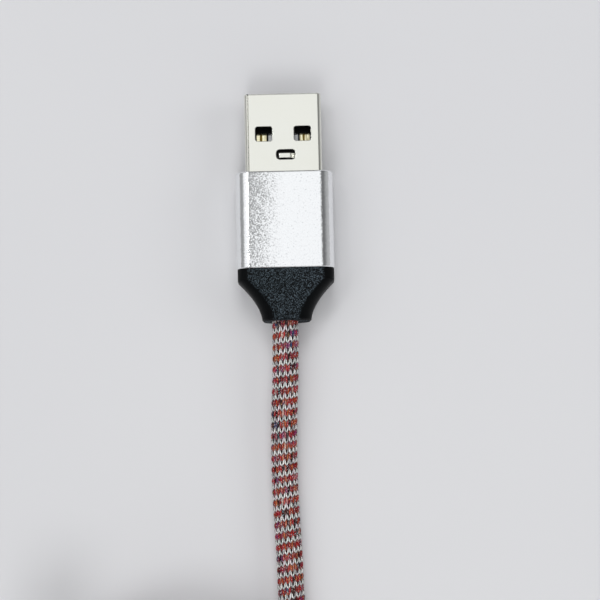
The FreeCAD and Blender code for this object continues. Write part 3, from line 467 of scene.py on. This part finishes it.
def jacket_material():
    """Red and white courses in a helix, each stitch a V of two legs, with iridescent thread
    whose specks are painted glints.
    """
    n = Nodes.of_material("knitted_jacket")
    stitch = n.add("ShaderNodeUVMap", uv_map="Stitch")
    wale, course = n.axes(stitch)[:2]

    # Where the point lies: across its V, and along its red or white leg from 0 to 1
    across = n.math("SUBTRACT", n.math("FRACT", wale), 0.5)
    apart = n.math("ABSOLUTE", across)
    turn = n.math("FLOOR", n.times(course, 1 / COURSES_PER_TURN))
    fallen = n.math("MULTIPLY_ADD", turn, -float(COURSES_PER_TURN), course)
    red_end = n.math("MULTIPLY_ADD", apart, -RED_SLANT, RED_TIP)
    past_red = n.math("SUBTRACT", fallen, red_end)
    white = n.math("GREATER_THAN", past_red, 0.0)
    white_length = n.math("SUBTRACT", float(COURSES_PER_TURN), red_end)
    along = n.choose(white, n.math("DIVIDE", fallen, red_end),
                     n.math("DIVIDE", past_red, white_length))

    # Each leg draws its own yarn, and the reds drift between warm and cool along the cord
    leg = n.add("ShaderNodeCombineXYZ", {
        0: n.math("FLOOR", wale),
        1: n.math("MULTIPLY_ADD", turn, float(COURSES_PER_TURN), white),
        2: n.math("GREATER_THAN", across, 0.0)})
    chance = n.add("ShaderNodeTexWhiteNoise", {"Vector": leg}, noise_dimensions="3D").node
    pick = chance.outputs["Value"]
    metal_chance, gloss_chance, glint_chance = n.channels(chance.outputs["Color"])
    region = n.noise(1.0, 1.5, n.scaled(stitch, (0.22, 0.35, 1.0)))
    warm = n.ramp(pick, WARM_YARNS, "CONSTANT")
    cool = n.ramp(pick, COOL_YARNS, "CONSTANT")
    red = n.mix(n.smooth(region, 0.46, 0.60), warm, cool)
    yarn = n.mix(white, red, n.ramp(pick, PALE_YARNS, "CONSTANT"))

    # Fibres that vary the yarn's tone, and painted glints: specks lightened towards pale and
    # iridescent colours
    fibre = n.noise(1.0, 2.0, n.scaled(stitch, (16, 5, 1)))
    worn = n.smooth(fibre, 0.35, 0.65, n.choose(white, 0.14, 0.46), 1.55)
    worn = n.add("ShaderNodeCombineXYZ", {0: worn, 1: worn, 2: worn})
    yarn = n.mix(1.0, yarn, worn, "MULTIPLY")
    speck = n.noise(1.0, 1.0, n.scaled(stitch, (6, 4, 1)))
    speck = n.times(n.smooth(speck, 0.59, 0.67), 0.9)
    painted_glint = n.ramp(glint_chance, TINSEL_GLINTS, "CONSTANT")
    yarn = n.mix(speck, yarn, n.mix(white, painted_glint, WHITE_GLINT))

    # Shade between the legs, at their ends and under each tip
    off_leg = n.math("ABSOLUTE", n.math("SUBTRACT", apart, 0.25))
    gap = n.smooth(off_leg, 0.13, 0.22)
    rim = n.math("MAXIMUM", n.smooth(along, 0.20, 0.0), n.smooth(along, 0.86, 1.0))
    hollow = n.times(n.math("MAXIMUM", gap, rim), n.choose(white, 0.92, 0.86))
    tip = n.times(n.smooth(n.math("ABSOLUTE", past_red), 0.32, 0.18),
                  n.smooth(apart, 0.25, 0.15))
    shade = n.mix(tip, n.mix(white, RED_SHADE, WHITE_SHADE), TIP_SHADE)
    tint = n.mix(n.math("MAXIMUM", tip, hollow), yarn, shade)

    normal = n.bump(fibre, 0.03 * MM, 0.5)
    rough = n.smooth(gloss_chance, 0.55, 0.95, 0.55, 0.22)
    metal = n.smooth(metal_chance, 0.80, 0.95, 0.0, 0.55)
    return n.finish(Base_Color=tint, Roughness=rough, Metallic=metal, Normal=normal,
                    Specular_IOR_Level=0.35)


def strap_material():
    """Black nylon webbing: fibres along each yarn, painted shade in the gaps between yarns, and
    a dull sheen.
    """
    n = Nodes.of_material("woven_strap")
    weave = n.add("ShaderNodeUVMap", uv_map="Weave")
    lengthwise = n.noise(1.0, 2.0, n.scaled(weave, (1.2, 16, 1)))
    crosswise = n.noise(1.0, 2.0, n.scaled(weave, (16, 1.2, 1)))
    u, v = n.axes(weave)[:2]
    over = n.math("MODULO", n.math("ADD", n.math("FLOOR", u), n.math("FLOOR", v)), 2.0)
    fibre = n.choose(over, lengthwise, crosswise)
    tint = n.ramp(fibre, [(0.32, (0.012, 0.012, 0.013)), (0.66, (0.050, 0.050, 0.053))])
    # Painted shade: each yarn is tinted near black towards its edges, where it meets the next
    beside = [n.math("ABSOLUTE", n.math("SUBTRACT", n.math("FRACT", s), 0.5)) for s in (u, v)]
    gap = n.smooth(n.math("MAXIMUM", *beside), 0.32, 0.48)
    tint = n.mix(gap, tint, (0.003, 0.003, 0.003))
    normal = n.bump(fibre, 0.05 * MM, 0.6)
    return n.finish(Base_Color=tint, Roughness=0.62, Specular_IOR_Level=0.3,
                    Sheen_Weight=0.15, Normal=normal)


# The cord's centre line

def coil_point(turn):
    """Centre line of the coil: clockwise from its right side, in and out, layer on layer."""
    layer, past = divmod(turn, COIL_LAYER_TURNS + COIL_CLIMB)
    outward = layer % 2
    wound = min(past, COIL_LAYER_TURNS)
    inset = COIL_LAYER_TURNS - wound if outward else wound
    climbed = past - wound
    bow = climbed - climbed ** 2 / COIL_CLIMB
    inset += -bow if outward else bow
    level = layer + (1 - math.cos(math.pi * climbed / COIL_CLIMB)) / 2
    radius = COIL_RADIUS - COIL_PITCH * inset
    angle = -2 * math.pi * turn
    flat = Vector((math.cos(angle), math.sin(angle), 0)) * radius
    return COIL_CENTRE + flat + Vector((0, 0, COIL_LOW + COIL_PITCH * level))


def coil_way(turn):
    """Level direction in which the coil runs at a turn."""
    step = 1e-4
    way = coil_point(turn + step) - coil_point(turn - step)
    way.z = 0
    return way.normalized()


def cord_route():
    """Every point of the route: out of the charger plug, round the coil, to the phone plug."""
    low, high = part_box("charger_plug_cord_end")
    cord_exit = Vector(((low.x + high.x) / 2, low.y, (low.z + high.z) / 2))
    way_in, way_out = coil_way(0), coil_way(COIL_TURNS)
    start = coil_point(0) - way_in * COIL_LEAD
    end = coil_point(COIL_TURNS) + way_out * COIL_LEAD
    route = [cord_exit, cord_exit - Vector((0, EXIT_RUN, 0))]
    route += [Vector((x * MM, y * MM, under * MM + CORD_DIAMETER / 2))
              for x, y, under in FRONT_POINTS]
    route += [start - way_in * COIL_APPROACH, start]
    steps = round(COIL_TURNS * COIL_POINTS_PER_TURN)
    route += [coil_point(COIL_TURNS * i / steps) for i in range(steps + 1)]
    low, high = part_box("phone_plug_housing")
    climb = (low.z + high.z) / 2 - end.z
    route += [end, end + way_out * COIL_DEPARTURE]
    route += [Vector((x * MM, y * MM, end.z + climb * share)) for x, y, share in TAIL_POINTS]
    return route


def smooth_line(name, route):
    """The points of the NURBS curve that has the route's points as its control points."""
    curve = bpy.data.curves.new(name, "CURVE")
    curve.dimensions = "3D"
    spline = curve.splines.new("NURBS")
    spline.points.add(len(route) - 1)
    for point, place in zip(spline.points, route):
        point.co = (*place, 1.0)
    spline.order_u = CURVE_ORDER
    spline.use_endpoint_u = True
    spline.resolution_u = CURVE_STEPS
    holder = new_object(name, curve)
    bpy.context.view_layer.update()
    mesh = bpy.data.meshes.new_from_object(holder)
    line = np.array([v.co for v in mesh.vertices])
    bpy.data.objects.remove(holder)
    bpy.data.meshes.remove(mesh)
    return line


def length_along(points):
    """How far each point lies from the first one, measured along the line."""
    return np.concatenate([[0.0], np.cumsum(np.linalg.norm(np.diff(points, axis=0), axis=1))])


def frames_along(line):
    """Two directions square to the line at each point, turned as little as possible."""
    steps = np.diff(line, axis=0)
    way = np.vstack([steps[:1], (steps[:-1] + steps[1:]), steps[-1:]])
    way /= np.linalg.norm(way, axis=1)[:, None]
    up = np.zeros_like(way)
    up[0] = np.array([0.0, 0.0, 1.0]) - way[0] * way[0][2]
    up[0] /= np.linalg.norm(up[0])
    for i in range(1, len(way)):
        carried = up[i - 1] - way[i] * np.dot(up[i - 1], way[i])
        up[i] = carried / np.linalg.norm(carried)
    return up, np.cross(way, up)


# The knitted jacket: a tube whose rows follow the V of each course

def knit_jacket(name, line):
    distance = length_along(line)
    up, side = frames_along(line)
    length = distance[-1]
    around = WALES * STEPS_PER_WALE
    column = np.arange(around)
    apart = np.abs(column / STEPS_PER_WALE % 1 - 0.5)
    ahead = COURSES_PER_TURN * column / around - VEE_DEPTH * apart
    lead_in = 2 * COURSES_PER_TURN
    courses = math.ceil(length / COURSE) + 2 * lead_in
    course = np.arange(courses * STEPS_PER_COURSE + 1) / STEPS_PER_COURSE
    place = (course[:, None] - lead_in - KNIT_START + ahead[None, :]) * COURSE
    inside = (place > 0) & (place < length)
    place = np.clip(place, 0, length)
    leg = np.sin(2 * np.pi * apart)[None, :] ** LEG_CURVE
    roll = np.sin(np.pi * (course % 1))[:, None] ** COURSE_CURVE
    raised = leg * (1 - COURSE_SHARE + COURSE_SHARE * roll) * inside
    radius = CORD_DIAMETER / 2 + YARN_PROUD - YARN_RELIEF * (1 - raised)

    def along(values):
        return np.stack([np.interp(place, distance, values[:, k]) for k in range(3)], axis=-1)

    angle = np.pi + 2 * np.pi * column / around
    turned = (along(up) * np.cos(angle)[None, :, None]
              + along(side) * np.sin(angle)[None, :, None])
    return new_object(name, helix_mesh(name, along(line) + turned * radius[:, :, None]))


def helix_mesh(name, points):
    """A tube from rows of points that wind up it: a row's end meets the start of a later row."""
    rows, around = points.shape[:2]
    turn_rows = COURSES_PER_TURN * STEPS_PER_COURSE
    row, column = np.meshgrid(np.arange(rows - 1 - turn_rows), np.arange(around), indexing="ij")
    closing = column == around - 1
    here = row * around + column
    beside = np.where(closing, (row + turn_rows) * around, here + 1)
    quads = np.stack([here, beside, beside + around, here + around], axis=-1).reshape(-1, 4)
    wale, next_wale = column / STEPS_PER_WALE, (column + 1) / STEPS_PER_WALE
    course, next_course = row / STEPS_PER_COURSE, (row + 1) / STEPS_PER_COURSE
    corner_wale = np.stack([wale, next_wale, next_wale, wale], axis=-1)
    corner_course = np.stack([course, course, next_course, next_course], axis=-1)
    maps = {
        "Stitch": np.stack([corner_wale, corner_course], axis=-1),
        "OFBake": bake_strips(course, corner_wale, corner_course),
    }

    # Rows that are clipped to the cord's ends have no height there
    flat = points.reshape(-1, 3)
    rises = [np.linalg.norm(flat[quads[:, one]] - flat[quads[:, two]], axis=1)
             for one, two in ((0, 3), (1, 2))]
    real = np.minimum(*rises) > LEAST_SIDE
    used, quads = np.unique(quads[real], return_inverse=True)
    quads = quads.reshape(-1, 4)

    mesh = bpy.data.meshes.new(name)
    mesh.vertices.add(len(used))
    mesh.vertices.foreach_set("co", flat[used].ravel())
    mesh.loops.add(quads.size)
    mesh.loops.foreach_set("vertex_index", quads.ravel())
    mesh.polygons.add(len(quads))
    mesh.polygons.foreach_set("loop_start", np.arange(0, quads.size, 4))
    mesh.polygons.foreach_set("use_smooth", np.ones(len(quads), bool))
    mesh.update(calc_edges=True)
    for map_name, uv in maps.items():
        layer = mesh.uv_layers.new(name=map_name)
        layer.data.foreach_set("uv", uv.reshape(-1, 4, 2)[real].ravel())
    return mesh


def bake_strips(face_course, corner_wale, corner_course):
    """The jacket cut into equal lengths that lie side by side in the unit square."""
    low, high = face_course.min(), corner_course.max()
    strip_length = math.ceil((high - low) / BAKE_STRIPS)
    strip = np.floor((face_course - low) / strip_length)[..., None]
    u = (corner_course - low - strip * strip_length) / strip_length
    v = SIDE_MARGIN + (1 - 2 * SIDE_MARGIN) * corner_wale / WALES
    return np.stack([END_MARGIN + (1 - 2 * END_MARGIN) * u, (strip + v) / BAKE_STRIPS], axis=-1)


# The woven strap: one strip that goes once round the bundle and laps over its own start

def strap_path():
    """Middle line of the strip in the plane of its loop, with the outward direction there."""
    reach = CORD_DIAMETER / 2 + STRAP_CLEARANCE + STRAP_THICKNESS / 2
    outer = COIL_RADIUS + reach
    inner = COIL_RADIUS - COIL_PITCH * COIL_LAYER_TURNS - reach
    low = STRAP_THICKNESS / 2
    layers_climbed = COIL_TURNS / (COIL_LAYER_TURNS + COIL_CLIMB)
    bundle = layers_climbed * COIL_PITCH + CORD_DIAMETER
    high = low + STRAP_THICKNESS + bundle + 2 * STRAP_CLEARANCE
    corner = (CORD_DIAMETER + STRAP_THICKNESS) / 2
    start = (outer + inner - STRAP_OVERLAP) / 2
    runs = [
        ((start, high), (outer - corner, high), (0, 1)),
        ((outer, high - corner), (outer, low + corner), (1, 0)),
        ((outer - corner, low), (inner + corner, low), (0, -1)),
        ((inner, low + corner), (inner, high - corner), (-1, 0)),
        ((inner + corner, high), (start + STRAP_OVERLAP, high), (0, 1)),
    ]
    spacing = YARN_PITCH / STEPS_PER_YARN
    points, outward = [], []
    for index, run in enumerate(runs):
        one, two, away = (np.array(item, float) for item in run)
        steps = round(math.dist(one, two) / spacing)
        for i in range(steps + 1):
            points.append(one + (two - one) * i / steps)
            outward.append(away)
        if index < len(runs) - 1:
            steps = round(math.pi / 2 * corner / spacing)
            for i in range(1, steps):
                turn = math.atan2(away[1], away[0]) - math.pi / 2 * i / steps
                outward.append(np.array([math.cos(turn), math.sin(turn)]))
                points.append(two + (outward[-1] - away) * corner)
    points, outward = np.array(points), np.array(outward)
    along = length_along(points)
    lapped = np.clip((STRAP_OVERLAP + LAP_RISE - (along[-1] - along)) / LAP_RISE, 0, 1)
    rise = lapped ** 2 * (3 - 2 * lapped) * STRAP_THICKNESS
    return points + outward * rise[:, None], outward, along


def weave_height(u, v):
    """Plain weave: round yarns of both ways that pass over and under each other, from 0 to 1."""

    def yarns(across, along):
        """How high the yarns of one way stand in themselves, and how far up they have gone."""
        wave = np.cos(np.pi * (along - 0.5)) * np.where(np.floor(across) % 2, -1, 1)
        return np.abs(np.sin(np.pi * across)) * YARN_ROUND, wave * YARN_WAVE

    lengthwise, lengthwise_wave = yarns(v, u)
    crosswise, crosswise_wave = yarns(u, v)
    return np.clip(np.maximum(lengthwise + lengthwise_wave, crosswise - crosswise_wave), 0, 1)


def woven_strap(name):
    points, outward, along = strap_path()
    columns = round(STRAP_WIDTH / YARN_PITCH) * STEPS_PER_YARN
    u = along / YARN_PITCH
    v = np.arange(columns + 1) / STEPS_PER_YARN
    hollow = 1 - weave_height(u[:, None], v[None, :])
    edge = np.minimum(v, v[-1] - v)
    full = (STRAP_THICKNESS / 2 - STRAP_SLACK) * np.minimum(1.0, SELVEDGE + edge)
    half = full[None, :] - WEAVE_DEPTH * hollow
    aside = np.array([-math.sin(STRAP_ANGLE), math.cos(STRAP_ANGLE), 0.0])
    forth = np.array([math.cos(STRAP_ANGLE), math.sin(STRAP_ANGLE), 0.0])
    up = np.array([0.0, 0.0, 1.0])
    middle = np.array(COIL_CENTRE) + points[:, :1] * forth + points[:, 1:] * up
    normal = outward[:, :1] * forth + outward[:, 1:] * up
    offset = (v * YARN_PITCH - STRAP_WIDTH / 2)[None, :, None] * aside
    place = middle[:, None, :] + offset
    thick = normal[:, None, :] * half[:, :, None]
    mesh = bmesh.new()
    layer = mesh.loops.layers.uv.new("Weave")
    sides = [[[mesh.verts.new(co) for co in row] for row in side]
             for side in (place + thick, place - thick)]

    def face(*corners):
        """A face from its corners: each a side, a row and a column."""
        made = mesh.faces.new([sides[side][i][j] for side, i, j in corners])
        made.smooth = True
        for loop, (_, i, j) in zip(made.loops, corners):
            loop[layer].uv = (u[i], v[j])

    top, bottom = 0, 1
    last_row, last = len(u) - 1, columns
    for i in range(last_row):
        for j in range(last):
            face((top, i, j), (top, i + 1, j), (top, i + 1, j + 1), (top, i, j + 1))
            face((bottom, i, j), (bottom, i, j + 1), (bottom, i + 1, j + 1), (bottom, i + 1, j))
        face((top, i, 0), (bottom, i, 0), (bottom, i + 1, 0), (top, i + 1, 0))
        face((top, i, last), (top, i + 1, last), (bottom, i + 1, last), (bottom, i, last))
    for j in range(last):
        face((top, 0, j), (top, 0, j + 1), (bottom, 0, j + 1), (bottom, 0, j))
        face((top, last_row, j), (bottom, last_row, j), (bottom, last_row, j + 1),
             (top, last_row, j + 1))
    strap = bpy.data.meshes.new(name)
    mesh.normal_update()
    mesh.to_mesh(strap)
    mesh.free()
    return new_object(name, strap)


# Build the cord; its jacket starts a little inside the mouth of the strain relief

route = cord_route()
centre_line = smooth_line("cord_route", route)
inside_mouth = centre_line[0] + np.array([0.0, MOUTH_DEPTH, 0.0])
jacket = knit_jacket("knitted_cord", np.vstack([inside_mouth, centre_line]))
use_material(jacket, jacket_material())
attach(jacket, "root")
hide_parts("cord_front", "cord_coil", "cord_tail")
strap = woven_strap("tie_webbing")
use_material(strap, strap_material())
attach(strap, "root")
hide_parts("cord_tie")

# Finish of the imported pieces

materials = {
    "nickel_plate": nickel_material(), "blasted_aluminium": sleeve_material(),
    "black_elastomer": relief_material(), "black_moulding": insulator_material(),
}
materials.update({name: plated_material(name, *look) for name, look in PLATED.items()})
materials.update({name: plastic_material(name, *look) for name, look in PLASTICS.items()})
for name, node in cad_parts.items():
    for ending, finish in FINISHES.items():
        if name.endswith(ending):
            use_material(node, materials[finish])


# Floor: a pale table that fades, for the camera, to the level of the backdrop

def table_material():
    n = Nodes.of_material("pale_table")
    tint = n.ramp(n.noise(8.0), [(0.3, (0.69, 0.69, 0.71)), (0.7, (0.72, 0.72, 0.735))])
    reach = n.add("ShaderNodeVectorMath", {0: n.coordinates()}, "Value", operation="LENGTH")
    seen = n.add("ShaderNodeLightPath", output="Is Camera Ray")
    far_away = n.times(n.smooth(reach, *FLOOR_FADE), seen)
    tint = n.mix(far_away, tint, (0.0, 0.0, 0.0))
    return n.finish(Base_Color=tint, Roughness=0.8,
                    Specular_IOR_Level=n.smooth(far_away, 0.0, 1.0, 0.2, 0.0),
                    Emission_Color=ROOM_COLOUR,
                    Emission_Strength=n.times(far_away, BACKDROP_LEVEL))


floor_mesh = bpy.data.meshes.new("floor")
floor_corners = [(x * FLOOR_HALF, y * FLOOR_HALF, 0)
                 for x, y in ((-1, -1), (1, -1), (1, 1), (-1, 1))]
floor_mesh.from_pydata(floor_corners, [], [(0, 1, 2, 3)])
floor = new_object("floor", floor_mesh)
floor.location.z = -FLOOR_DROP
use_material(floor, table_material())

# Lamps: square soft boxes that point at the plug

for name, place, side, radiance, mirrored in LAMPS:
    lamp = bpy.data.lights.new(name, "AREA")
    lamp.shape = "SQUARE"
    lamp.size = side
    lamp.energy = radiance * math.pi * side * side
    holder = new_object(name, lamp)
    holder.location = place
    holder.rotation_euler = (-Vector(place)).to_track_quat("-Z", "Y").to_euler()
    holder.visible_glossy = mirrored


# The room: a bright ceiling, a soft box on the left and a dim gap between them, a faint wall
# on the right, dark ends, and a lit wall in front of the end on the cord's side

def room_world():
    n = Nodes(bpy.data.worlds.new("studio"), "Background")
    across, along, upward = n.axes(n.coordinates("Generated"))
    ends = n.smooth(n.math("ABSOLUTE", along), 0.85, 0.45, 0.12, 1.0)
    soft_box = n.times(n.smooth(across, -0.28, -0.38), n.smooth(across, -0.90, -0.72, 0.20),
                       n.smooth(along, -0.25, -0.05), SOFT_BOX_LEVEL)
    overhead = n.times(n.smooth(across, -0.15, -0.09), n.smooth(across, 0.42, 0.27),
                       OVERHEAD_LEVEL)
    gap = n.times(n.smooth(across, -0.02, -0.10), n.smooth(across, -0.44, -0.34))
    base = n.math("MULTIPLY_ADD", gap, GAP_LEVEL, BASE_LEVEL)
    right_wall = n.times(n.smooth(across, 0.60, 1.05), RIGHT_WALL_LEVEL)
    near_wall = n.times(n.smooth(along, -0.30, -0.55), n.smooth(upward, 0.70, 0.45))
    level = n.math("ADD", n.math("ADD", soft_box, overhead), n.math("ADD", base, right_wall))
    level = n.math("MULTIPLY_ADD", near_wall, NEAR_WALL_LEVEL, n.times(level, ends))
    seen = n.add("ShaderNodeLightPath", output="Is Camera Ray")
    return n.finish(Color=ROOM_COLOUR, Strength=n.choose(seen, level, BACKDROP_LEVEL))


bpy.context.scene.world = room_world()

camera_data = bpy.data.cameras.new("camera")
camera_data.sensor_width = SENSOR_WIDTH
camera_data.lens = FOCAL_PIXELS * SENSOR_WIDTH / PICTURE_PIXELS
camera_data.clip_start = CAMERA_NEAR
camera = new_object("camera", camera_data)
look = Vector((0, math.sin(CAMERA_TILT), -math.cos(CAMERA_TILT)))
sight = look.to_track_quat("-Z", "Y").to_matrix() @ Matrix.Rotation(CAMERA_ROLL, 3, "Z")
camera.matrix_world = Matrix.Translation(CAMERA_TARGET - look * CAMERA_DISTANCE) @ sight.to_4x4()
bpy.context.scene.camera = camera
bpy.context.scene.view_settings.view_transform = "Standard"
